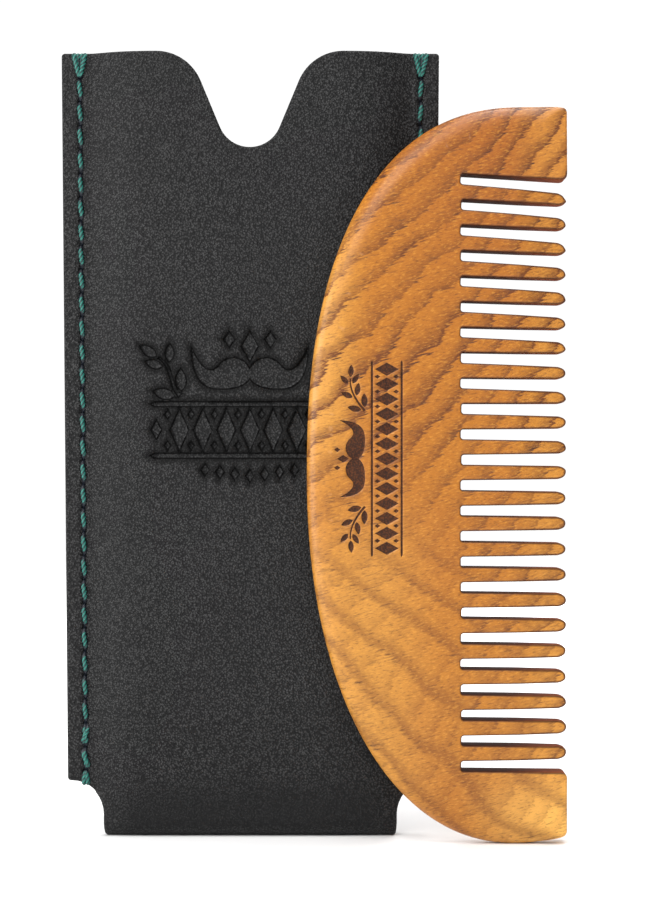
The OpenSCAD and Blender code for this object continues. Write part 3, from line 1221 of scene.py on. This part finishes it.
@dataclass
class Sleeve:
    """One strip of leather folded at the foot, sewn down both sides and open round a thumb notch."""

    low: Vector
    high: Vector
    leather: float = 1.6
    fold_half: float = 25.6
    foot_half: float = 32.1
    top_half: float = 33.2
    height: float = 137.5
    cut_height: float = 9.7
    cut_r: float = 5.8
    corner_r: float = 0.6
    shoulder: tuple[float, float] = (16.4, 129.0)
    shoulder_r: float = 8.5
    bowl_z: float = 126.3
    bowl_r: float = 5.6
    flank: float = -22.6
    fold_mid_r: float = 2.35
    pocket_rise: float = 3.05
    pocket_half: float = 28.4
    opening_height: float = 24.0
    roll: float = 0.42
    seam_inset: float = 3.2
    groove_depth: float = 0.30
    groove_spread: float = 0.42
    hole_depth: float = 0.55
    hole_spread: float = 0.42
    lowest_hole: float = 11.4
    stitch_pitch: float = 4.203
    hole_count: int = 30
    press_depth: float = 0.5
    pull_depth: float = 0.24
    pull_spread: float = 0.85
    ornament_z: float = 74.5
    wave: float = 0.22

    def __post_init__(self) -> None:
        """Works out the sleeve's main lines."""
        self.middle_x = (self.low.x + self.high.x) / 2
        self.middle_y = (self.low.y + self.high.y) / 2
        self.seam_lean = (self.top_half - self.foot_half) / (self.height - self.cut_height)
        self.top_hole = self.lowest_hole + (self.hole_count - 1) * self.stitch_pitch
        self.holes = self.lowest_hole + np.arange(self.hole_count) * self.stitch_pitch

    def seam_across(self, z: Array | float) -> Array | float:
        """How far the seam runs from the sleeve's middle at a height."""
        return self.foot_half - self.seam_inset + (z - self.cut_height) * self.seam_lean

    def side(self) -> Array:
        """The right half of the front panel's edge.

        Returns:
            Its points, from the fold up and in to the bottom of the notch.
        """
        shoulder, bowl = list(self.shoulder), [0.0, self.bowl_z]
        return np.vstack([
            [[self.fold_half, 0.0]],
            arc([self.foot_half - 0.7, self.cut_height - self.cut_r], self.cut_r, 180, 90, 9),
            arc([self.foot_half - self.corner_r, self.cut_height + self.corner_r], self.corner_r, -90, 0, 5),
            arc([self.top_half - self.corner_r, self.height - self.corner_r], self.corner_r, 0, 90, 5),
            arc(shoulder, self.shoulder_r, 90, 180 + self.flank, 16),
            arc(bowl, self.bowl_r, self.flank, -90, 12),
        ])

    def outline(self) -> Array:
        """The whole strip's edge laid flat, with the fold at 0.

        Returns:
            Its points, with the front panel above 0 and the back panel below it.
        """
        right = self.side()
        panel = np.vstack([right, right[::-1][1:] * [-1, 1]])
        back = panel[::-1] * [1, -1]
        return cleaned(densified(anticlockwise(np.vstack([panel, back])), 0.9))

    def middle(self, across: Array, run: Array) -> Array:
        """The leather's middle surface.

        Args:
            across: distance from the sleeve's middle line.
            run: height above the fold, negative on the back panel.

        Returns:
            The points in the frame.
        """
        bulge = np.clip(1 - np.abs(across / self.pocket_half) ** 8, 0, 1) ** 2
        bend = self.fold_mid_r * np.sqrt(np.clip(bulge, 0.12, 1))
        up, front = np.abs(run), np.sign(run)
        foot = self.leather / 2
        knee = bend + foot
        turn = np.clip(up / knee, 0, 1) * math.pi / 2
        z = np.where(up < knee, foot + bend * (1 - np.cos(turn)), up)
        gap = self.leather / 2 + 0.02 + self.pocket_rise * bulge
        open_share = ease((up - knee) / (self.opening_height - knee))
        gap = bend + (gap - bend) * open_share
        loose = bulge * ease((up - 4) / 22) * ease((self.height + 8 - up) / 30)
        plane = np.stack([across + 90 * (front < 0), up], 1)
        wave = -np.clip(wander(plane, 58.0, 5), -1, 1) * 0.5 - 0.5
        y = np.where(up < knee, bend * np.sin(turn), gap + wave * self.wave * loose)
        return np.stack([self.middle_x + across, self.middle_y - front * y, z], 1)

    def place(self, points: Array, level: Array) -> Array:
        """Points of the strip in the frame.

        Args:
            points: their places on the flat strip.
            level: how far each lies from the middle of the leather, towards the grain side.

        Returns:
            The points in the frame.
        """
        across, run, e = points[:, 0], points[:, 1], 0.02
        run = np.where(np.abs(run) < 1e-4, 1e-4, run)
        step_across = self.middle(across + e, run) - self.middle(across - e, run)
        step_up = self.middle(across, run + e) - self.middle(across, run - e)
        normal = unit(np.cross(step_across, step_up))
        return self.middle(across, run) + normal * level[:, None]

    def stitched(self, points: Array) -> Array:
        """How deep the stitch groove and its awl holes press the leather.

        Args:
            points: places on the flat strip.

        Returns:
            The depth at each.
        """
        across, up = np.abs(points[:, 0]), np.abs(points[:, 1])
        off = (across - self.seam_across(up)) / self.groove_spread
        nearest = self.lowest_hole + np.clip(
            np.round((up - self.lowest_hole) / self.stitch_pitch), 0, self.hole_count - 1) * self.stitch_pitch
        hole = np.hypot(across - self.seam_across(up), up - nearest) / self.hole_spread
        started = ease((up - self.lowest_hole + 1.4) / 1.0)
        return self.groove_depth * np.exp(-(off**2)) * started + self.hole_depth * np.exp(-(hole**2))

    def nearness(self, points: Array) -> Array:
        """How strongly the pressed shapes pull down the leather beside them.

        Args:
            points: places on the flat strip.

        Returns:
            The pull at each, from 0 to 1.
        """
        low, high = self.marks.min(0) - 2.5, self.marks.max(0) + 2.5
        close = ((points > low) & (points < high)).all(1)
        pull = np.zeros(len(points))
        pull[close] = np.exp(-((clearance(points[close], self.marks) / self.pull_spread) ** 2))
        return pull

    def sink(self, points: Array, stamp: Array, face: Face) -> Array:
        """How far the surface lies below the flat leather.

        Args:
            points: places on the flat strip.
            stamp: how much of the stamp's full depth each has.
            face: which face of the leather it is, since only the grain side is pressed.

        Returns:
            The depth at each.
        """
        if face is Face.UNDER:
            return np.zeros(len(points))
        pull = np.maximum(self.nearness(points), (stamp > 0.9) * 1.0)
        return self.stitched(points) + stamp * self.press_depth + pull * self.pull_depth

    def ornament(self) -> list[Array]:
        """The pressed ornament.

        Returns:
            Its loops on the front panel.
        """
        kit = Ornament(moustache_half=10.2, moustache_height=8.2, leaf=(4.0, 1.9), curve_steps=11)
        loops = [kit.moustache() + [0, 6.6], kit.lozenge([0, 11.4], 3.0, 5.4)]
        loops += [kit.lozenge([side * 3.6, 12.6], 2.0, 2.8) for side in (-1, 1)]
        for hand in (-1, 1):
            stem = bezier([(12.2, 2.8), (14.2, 4.6), (13.2, 8.4), (16.4, 9.6)], 16) * [hand, 1]
            loops += kit.sprig(stem, 0.75, 2, 0.35)
        loops += [kit.lozenge([step * 4.1, -3.2], 3.3, 7.4) for step in range(-3, 4)]
        loops += [kit.lozenge([step * 4.1, -3.2], 1.9, 3.4) for step in (-3.98, 3.98)]
        loops += [kit.lozenge([(step + 0.5) * 4.1, -5.9], 1.1, 1.5) for step in range(-4, 4)]
        loops += [kit.lozenge([(step + 0.5) * 4.1, -0.5], 1.1, 1.5) for step in range(-4, 4)]
        loops += [kit.rule([-17.4, level], [17.4, level], 0.85) for level in (1.3, -7.7)]
        loops += [
            kit.lozenge([step * 2.6, -10.2 - 0.35 * (3 - abs(step))], 1.5, 2.2) for step in range(-3, 4)]
        return [anticlockwise(densified(loop, 0.7)) + [0, self.ornament_z] for loop in loops]

    def build(self) -> bpy.types.Object:
        """Makes the folded strip and dresses it.

        Returns:
            The sleeve.
        """
        loop = self.outline()
        stamps: list[tuple[Array, float]] = []
        for shape in self.ornament():
            into = inward(shape)
            stamps += [(shape - into * 0.24, 0.0), (shape, 0.70), (shape + into * 0.19, 1.0)]
        self.marks = np.vstack([s for s, depth in stamps if depth == 0])
        low, high = self.marks.min(0) - 2.5, self.marks.max(0) + 2.5
        panel = grid([-self.top_half, -self.height], [self.top_half, self.height], 1.35)
        fold = grid([-self.fold_half, -5.0], [self.fold_half, 5.0], 0.45)
        seams = []
        for side in Side:
            for front in (-1, 1):
                strip = grid([-1.3, self.lowest_hole - 1.6], [1.3, self.height], 0.27)
                strip[:, 0] = side.value * (strip[:, 0] + self.seam_across(strip[:, 1]))
                seams.append(strip * [1, front])
        shoulders = [
            grid([side * 24.8 - 2.9, front * 68.0 - 66.0], [side * 24.8 + 2.9, front * 68.0 + 66.0], 0.62)
            for side in (-1, 1) for front in (-1, 1)
        ]
        sides = np.vstack([*seams, *shoulders])
        broad = panel[clearance(panel, sides) > 0.35]
        grain_side = np.vstack([sides, broad, fold, grid(low, high, 0.5)])
        roll = np.full(len(loop), self.roll)
        slab = Slab(
            outline=loop, round_width=roll, round_depth=roll,
            half=lambda at: np.full(len(at), self.leather / 2), place=self.place,
            loops={Face.UPPER: stamps, Face.UNDER: []},
            points={Face.UPPER: grain_side, Face.UNDER: np.vstack([panel, fold])},
            sink=self.sink, roll_steps=5, wall_steps=3,
        )
        sleeve = slab.mesh("folded_leather_sleeve")
        rows = np.vstack(slab.rows)
        front = rows[:, 1] < self.middle_y - self.leather
        pull = self.nearness(rows[:, [0, 2]] - [self.middle_x, 0])
        set_attribute(sleeve, "pull", pull * front)
        sleeve.data.materials.append(GrainLeather(middle_x=self.middle_x).material())
        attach(sleeve, "sleeve")
        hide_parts("sleeve_leather")
        x, y = loop[:, 0], loop[:, 1]
        strip = abs(float(np.sum(x * np.roll(y, -1) - np.roll(x, -1) * y))) / 2
        spare = (math.pi / 2 - 1) * self.fold_mid_r * 2
        area = strip + spare * 2 * self.fold_half
        area * MM * MM
        return sleeve


# ---- The seams ----


@dataclass
class SeamThread:
    """One side's saddle stitch: two threads that change faces at every hole and splay over the mouth."""

    sleeve: Sleeve
    side: Side
    radius: float = 0.44
    ply_twist: float = 2.3
    ply_depth: float = 0.13
    proud: float = 0.12
    slant: float = 0.11
    splay: float = 0.95
    inner_drop: float = 0.36
    # These two set where the painted shade starts as the thread dives into a hole, and how fast it deepens.
    tuck_out: float = 1.98
    tuck_run: float = 0.34
    ring_step: float = 0.15
    ring_sides: int = 12

    def outer(self) -> float:
        """Distance from the sleeve's middle plane to a stitch's middle line."""
        return self.sleeve.leather + 0.02 + self.proud - self.sleeve.groove_depth * 0.3

    def at(self, z: float, out: float, along: float) -> list[float]:
        """A point beside the seam.

        Args:
            z: its height.
            out: distance in front of the sleeve's middle plane.
            along: distance away from the sleeve's middle, measured from the seam.

        Returns:
            The point in the frame.
        """
        across = self.side.value * (self.sleeve.seam_across(z) + along)
        return [self.sleeve.middle_x + across, self.sleeve.middle_y - out, z]

    def stitch(self, low: float, high: float, front: int, slant: float) -> list[list[float]]:
        """One stitch over one face.

        Args:
            low: height of the hole that it comes out of.
            high: height of the hole that it goes into.
            front: 1 over the front and -1 over the back.
            slant: how far each end leans off the seam's line.

        Returns:
            Its guide points.
        """
        out = self.outer()
        return [
            self.at(low + 0.24, front * out * 0.45, -slant * 0.5),
            self.at(low + 0.62, front * out * 0.72, -slant),
            self.at(low + 1.22, front * out * 0.96, -slant),
            self.at((low + high) / 2, front * (out + 0.06), 0.0),
            self.at(high - 1.22, front * out * 0.96, slant),
            self.at(high - 0.62, front * out * 0.72, slant),
            self.at(high - 0.24, front * out * 0.45, slant * 0.5),
        ]

    def strand(self, first: int, offset: float) -> list[list[float]]:
        """One thread from the lowest hole to the top one.

        Args:
            first: 1 if it starts over the front and -1 over the back.
            offset: how far it lies beside the middle of each hole.

        Returns:
            Its guide points.
        """
        rows, front = [], first
        for low, high in zip(self.sleeve.holes, self.sleeve.holes[1:]):
            rows.append(self.at(low, front * 0.1, offset))
            rows += self.stitch(low, high, front, self.slant)
            front = -front
        rows.append(self.at(self.sleeve.top_hole, 0.0, offset))
        return rows

    def wrap(self, splay: float) -> list[list[float]]:
        """One turn of thread over the mouth's edge, where the inner turns lie lower than the outer.

        Args:
            splay: how far it spreads from the seam's line by the time that it reaches the edge.

        Returns:
            Its guide points.
        """
        hole, top = self.sleeve.top_hole, self.sleeve.height
        out = self.outer() - (0.0 if abs(splay) == self.splay else self.inner_drop)
        rows = []
        for front in (1, -1):
            half = [
                self.at(hole, 0.05 * front, splay * 0.08),
                self.at(hole + 0.12, front * out * 0.5, splay * 0.1),
                self.at(hole + 0.35, front * out * 0.9, splay * 0.16),
                self.at(hole + 0.9, front * (out + 0.06), splay * 0.3),
                self.at(hole + 2.4, front * (out + 0.08), splay * 0.68),
                self.at(top - 0.7, front * (out + 0.06), splay * 0.95),
                self.at(top - 0.34, front * out * 0.84, splay),
                self.at(top - 0.30, front * out * 0.45, splay),
            ]
            rows += half if front > 0 else half[::-1]
        return rows

    def foot_wrap(self, splay: float) -> list[list[float]]:
        """One turn of thread under the lower cut edge.

        Args:
            splay: how far it spreads from the seam's line by the time that it reaches the edge.

        Returns:
            Its guide points.
        """
        hole, edge, out = self.sleeve.lowest_hole, self.sleeve.cut_height - 0.52, self.outer()
        rows = []
        for front in (1, -1):
            half = [
                self.at(hole, 0.05 * front, splay * 0.1),
                self.at(hole - 0.10, front * out * 0.5, splay * 0.1),
                self.at(hole - 0.30, front * out * 0.9, splay * 0.3),
                self.at(hole - 1.1, front * out, splay * 0.7),
                self.at(edge + 0.5, front * out * 0.98, splay),
                self.at(edge + 0.12, front * out * 0.8, splay),
                self.at(edge + 0.04, front * out * 0.42, splay),
            ]
            rows += half if front > 0 else half[::-1]
        return rows

    def sweep(self, guide: list[list[float]], start: int) -> tuple[Array, list[Sequence[int]], Array]:
        """A twisted thread along guide points.

        Args:
            guide: the points that its middle line passes through.
            start: the number of its first vertex.

        Returns:
            Its vertices, its faces, and how high each vertex stands on a ply.
        """
        g = np.asarray(guide, float)
        g = np.vstack([2 * g[0] - g[1], g, 2 * g[-1] - g[-2]])
        t = np.linspace(0, 1, 8, endpoint=False)[:, None]
        curve = []
        for a, b, c, d in zip(g, g[1:], g[2:], g[3:]):
            square, cube = 2 * a - 5 * b + 4 * c - d, 3 * b - a - 3 * c + d
            curve.append(0.5 * (2 * b + (c - a) * t + square * t**2 + cube * t**3))
        line = np.vstack([*curve, g[-2:-1]])
        run = np.concatenate([[0], np.cumsum(np.linalg.norm(np.diff(line, axis=0), axis=1))])
        even = np.linspace(0, run[-1], max(4, int(run[-1] / self.ring_step)))
        line = np.stack([np.interp(even, run, line[:, i]) for i in range(3)], 1)
        along = unit(np.gradient(line, axis=0))
        first = unit(np.array([1.0, 0, 0]) - along * along[:, :1])
        second = np.cross(along, first)
        theta = np.arange(self.ring_sides) * 2 * math.pi / self.ring_sides
        ply = 0.5 + 0.5 * np.cos(3 * (theta[None] - even[:, None] * 2 * math.pi / self.ply_twist))
        radius = self.radius * (1 - self.ply_depth + self.ply_depth * ply)
        ring = np.cos(theta)[None, :, None] * first[:, None] + np.sin(theta)[None, :, None] * second[:, None]
        points = (line[:, None] + ring * radius[:, :, None]).reshape(-1, 3)
        numbers = start + np.arange(len(points)).reshape(-1, self.ring_sides)
        beside = np.roll(numbers, -1, 1)
        faces = np.stack([numbers[:-1], beside[:-1], beside[1:], numbers[1:]], -1).reshape(-1, 4).tolist()
        return points, [*faces, numbers[0, ::-1].tolist(), numbers[-1].tolist()], ply.reshape(-1)

    def build(self) -> bpy.types.Object:
        """Makes one seam's thread and dresses it.

        Returns:
            The thread.
        """
        holes = self.sleeve.holes
        guides = [self.strand(1, -0.1), self.strand(-1, 0.1)]
        guides += [self.wrap(self.splay * share) for share in (-1.0, -0.36, 0.36, 1.0)]
        guides += [self.foot_wrap(splay) for splay in (-0.34, 0.34)]
        for front in (1, -1):
            guides.append(self.stitch(holes[0], holes[1], front, self.slant + 0.28))
            guides.append(self.stitch(holes[1], holes[2], front, -self.slant - 0.24))
        points, faces, plies, count = [], [], [], 0
        for guide in guides:
            some, more, ply = self.sweep(guide, count)
            points.append(some)
            faces += more
            plies.append(ply)
            count += len(some)
        word = self.side.name.lower()
        rows = np.vstack(points)
        thread = new_object(f"{word}_saddle_stitch", rows, faces)
        out = np.abs(rows[:, 1] - self.sleeve.middle_y)
        over = (rows[:, 2] > self.sleeve.height - 0.8) | (rows[:, 2] < self.sleeve.cut_height + 0.3)
        # Painted shade where each stitch dives into its hole. There is none on the turns over the cut edges.
        set_attribute(thread, "painted_hole_shade", np.where(over, 0.0, ease((self.tuck_out - out) / self.tuck_run)))
        set_attribute(thread, "ridge", np.concatenate(plies))
        thread.data.materials.append(WaxedThread().material())
        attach(thread, "sleeve")
        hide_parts(f"{word}_seam_thread")
        return thread


# ---- The studio ----


@dataclass(frozen=True)
class SoftLamp:
    """A square lamp that faces a point, with its places and size in metres."""

    name: str
    at: Place
    aim: Place
    size: float
    watts: float

    def build(self) -> None:
        """Hangs the lamp."""
        data = bpy.data.lights.new(self.name, "AREA")
        data.size = self.size
        data.energy = self.watts
        lamp = bpy.data.objects.new(self.name, data)
        lamp.location = self.at
        lamp.rotation_euler = (Vector(self.aim) - Vector(self.at)).to_track_quat("-Z", "Y").to_euler()
        bpy.context.scene.collection.objects.link(lamp)


@dataclass(frozen=True)
class BroadSun:
    """Even light from one direction, as wide in the sky as its spread in degrees."""

    name: str
    strength: float
    spread: float
    heading: Place

    def build(self) -> None:
        """Hangs the sun."""
        data = bpy.data.lights.new(self.name, "SUN")
        data.energy = self.strength
        data.angle = math.radians(self.spread)
        sun = bpy.data.objects.new(self.name, data)
        sun.rotation_euler = Vector(self.heading).to_track_quat("-Z", "Y").to_euler()
        bpy.context.scene.collection.objects.link(sun)


@dataclass
class Studio:
    """A white floor, a white surround, two broad suns, three soft lamps and the camera."""

    camera_at: Place = (0.00325, -0.3777, 0.0678)
    lens: float = 86.3
    ambient: float = 0.40
    surround: float = 1.06
    floor_half: float = 3.0
    suns: tuple[BroadSun, ...] = (
        BroadSun("window", 1.45, 35, (0.06, 0.42, -1.0)),
        BroadSun("skylight", 1.25, 24, (0.0, -0.12, -1.0)),
    )
    lamps: tuple[SoftLamp, ...] = (
        SoftLamp("key", (-0.24, -0.50, 0.42), (0.0, 0.0, 0.07), 0.35, 2.2),
        SoftLamp("side", (-0.42, -0.16, 0.12), (0.0, 0.0, 0.06), 0.26, 1.1),
        SoftLamp("back", (0.22, 0.55, 0.34), (0.0, 0.0, 0.07), 0.4, 3.0),
    )

    def build(self) -> None:
        """Sets out the studio."""
        scene = bpy.context.scene
        data = bpy.data.cameras.new("camera")
        data.lens = self.lens
        data.clip_start = 0.01
        camera = bpy.data.objects.new("camera", data)
        camera.location = self.camera_at
        camera.rotation_euler = (math.pi / 2, 0, 0)
        scene.collection.objects.link(camera)
        scene.camera = camera
        scene.view_settings.view_transform = "Standard"
        scene.world = bpy.data.worlds.new("surround")
        sky = Bench(scene.world)
        seen = sky.node("ShaderNodeLightPath", {}, {}).outputs["Is Camera Ray"]
        strength = sky.node("ShaderNodeMix", {}, {"Factor": seen, "A": self.ambient, "B": self.surround})
        backdrop = sky.node(
            "ShaderNodeBackground", {}, {"Color": (1, 1, 1, 1), "Strength": strength.outputs["Result"]})
        sky.node("ShaderNodeOutputWorld", {}, {"Surface": backdrop.outputs[0]})
        for sun in self.suns:
            sun.build()
        h = self.floor_half / MM
        corners = np.array([[-h, -h, 0], [h, -h, 0], [h, h, 0], [-h, h, 0]])
        floor = new_object("floor", corners, [(0, 1, 2, 3)])
        floor.data.materials.append(WhitePaper().material())
        for lamp in self.lamps:
            lamp.build()


def node_box(*names: str) -> tuple[Vector, Vector]:
    """The box round some CAD nodes.

    Args:
        *names: the nodes.

    Returns:
        Its lowest and highest corners, in millimetres.
    """
    corners = [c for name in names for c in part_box(name)]
    low = Vector(min(c[i] for c in corners) / MM for i in range(3))
    high = Vector(max(c[i] for c in corners) / MM for i in range(3))
    return low, high


def main() -> None:
    """Builds the comb, its sleeve and the studio."""
    logging.basicConfig(level=logging.INFO)
    Studio().build()
    sleeve = Sleeve(*node_box("sleeve_leather"))
    pieces = [Comb(*node_box("comb")).build(), sleeve.build()]
    pieces += [SeamThread(sleeve, side).build() for side in Side]
    for piece in pieces:
        LOG.info("%s: %d vertices", piece.name, len(piece.data.vertices))


if __name__ == "__main__":
    main()
